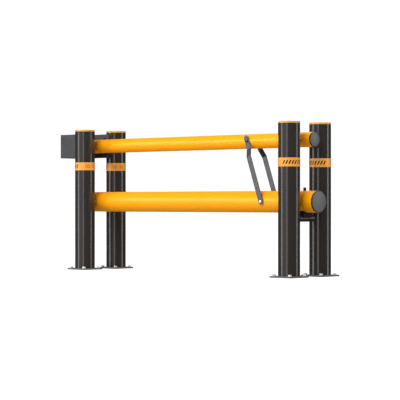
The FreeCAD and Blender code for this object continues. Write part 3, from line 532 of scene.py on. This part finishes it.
def make_anchors(zinc):
    """Four hex-head anchor screws with washers in each base plate, each turned differently."""
    spacing, head, above_floor = 0.155, 0.010, 0.001
    outer, bore, thickness = 0.015, 0.0083, 0.003
    for name in POSTS:
        screws, washers = Solid(), Solid()
        for across in (-1, 1):
            for back in (-1, 1):
                hole = POST_AXIS[name] + Vector((across, back, 0)) * (spacing / 2)
                hole.z = PLATE_TOP
                washer(washers, along(hole, (0, 0, 1)), outer, bore, thickness)
                hole.z += thickness + head
                turn = Matrix.Rotation(0.4 + 0.9 * across + 0.35 * back, 4, "Z")
                hex_bolt(screws, along(hole, (0, 0, -1)) @ turn, flats=0.024, head=head, radius=0.008,
                         pitch=0.002, thread_start=0.014, length=hole.z - above_floor)
        finish_piece(screws.piece(f"anchor_screws_{name}"), "stand", zinc)
        finish_piece(washers.piece(f"anchor_washers_{name}"), "stand", zinc)


def replace_fastener(stem, body, shader, slot_name, flats, head, radius, pitch, thread, bore):
    """Bolt and nut with turned corners and a rolled thread, for a CAD bolt and nut that lie along Y."""
    middle = centre(f"{stem}_bolt")
    front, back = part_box(f"{stem}_bolt")
    nut_low, nut_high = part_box(f"{stem}_nut")
    length = back.y - front.y
    bolt, nut = Solid(), Solid()
    hex_bolt(bolt, along((middle.x, front.y, middle.z), (0, 1, 0)), flats, head, radius, pitch,
             length - thread, length)
    hex_nut(nut, along((middle.x, nut_low.y, middle.z), (0, 1, 0)), flats, nut_high.y - nut_low.y, bore)
    finish_piece(bolt.piece(f"{stem}_bolt_detail"), body, shader, [f"{stem}_bolt"])
    finish_piece(nut.piece(f"{stem}_nut_detail"), body, shader, [f"{stem}_nut"])


def make_fasteners(materials):
    """Bolts and nuts of the link bars and of the upper rail's pivot."""
    link = {"flats": 0.016, "head": 0.0064, "radius": 0.005, "pitch": 0.0015, "thread": 0.026, "bore": 0.0051}
    pivot = {"flats": 0.036, "head": 0.015, "radius": 0.012, "pitch": 0.003, "thread": 0.038, "bore": 0.0121}
    for stem, body, slot_name, sizes in (("upper_link", "upper_arm", "dark_fastener", link),
                                         ("lower_link", "lower_arm", "zinc_fastener", link),
                                         ("upper_pivot", "stand", "zinc_fastener", pivot)):
        replace_fastener(stem, body, materials[slot_name], slot_name, **sizes)


BAR_SKIN = 0.0002       # how far a bar stands above the face it lies on, and reaches into it
BAR_STEP = 2            # degrees of a bar between two rings
LEAN_STEP = 1.5         # degrees of lean between two levels


def curved_bar(solid, axis, radius, start, end, low, high, lean=0.0):
    """Thin raised bar wrapped on a post, between two azimuths in degrees; the lean shifts its top."""
    steps = max(2, round(abs(end - start) / BAR_STEP) + 1)
    levels = max(2, round(abs(lean) / LEAN_STEP) + 1)
    rings = []
    for step in range(steps):
        azimuth = start + (end - start) * step / (steps - 1)
        outside, inside = [], []
        for level in range(levels):
            share = level / (levels - 1)
            angle = math.radians(azimuth + lean * share)
            height = low + (high - low) * share
            for side, reach in ((outside, BAR_SKIN), (inside, -BAR_SKIN)):
                out = radius + reach
                side.append((axis.x + out * math.cos(angle), axis.y + out * math.sin(angle), height))
        rings.append(outside + inside[::-1])
    solid.sweep(rings)


# Azimuth in degrees where the row of stripes starts on each band.
STRIPE_START = {"front_left": 150, "rear_left": 125, "front_right": -84, "rear_right": -146}
# The stripes of a row are all alike: their count, then width, pitch and lean in degrees, and half height.
STRIPE_COUNT, STRIPE_WIDTH, STRIPE_PITCH, STRIPE_LEAN, STRIPE_HALF = 8, 8, 16, 9, 0.014
# Degrees from the row's start, heights from the band's middle, and thickness of the thin rules.
RULE_SPANS, RULE_FEET, RULE_THICKNESS = ((170, 200), (212, 235)), (-0.010, 0.004), 0.005


def make_band_marks(dark, faint):
    """A row of equal slanted hazard stripes and two broken thin rules on each band."""
    for name in POSTS:
        low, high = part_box(f"post_band_{name}")
        middle, axis, start = (low.z + high.z) / 2, POST_AXIS[name], STRIPE_START[name]
        stripes, rules = Solid(), Solid()
        for place in range(STRIPE_COUNT):
            left = start + place * STRIPE_PITCH
            curved_bar(stripes, axis, BAND_RADIUS, left, left + STRIPE_WIDTH,
                       middle - STRIPE_HALF, middle + STRIPE_HALF, STRIPE_LEAN)
        for foot in RULE_FEET:
            for first, last in RULE_SPANS:
                curved_bar(rules, axis, BAND_RADIUS, start + first, start + last,
                           middle + foot, middle + foot + RULE_THICKNESS)
        finish_piece(stripes.piece(f"band_stripes_{name}"), "stand", dark)
        finish_piece(rules.piece(f"band_rules_{name}"), "stand", faint)


# ---------------------------------------------------------------- build and finish

make_camera()
make_world()
make_lights()
make_floor()
MATERIALS = make_materials()
paint_cad_nodes(MATERIALS)
make_anchors(MATERIALS["zinc_fastener"])
make_fasteners(MATERIALS)
make_band_marks(MATERIALS["band_mark"], MATERIALS["band_note"])
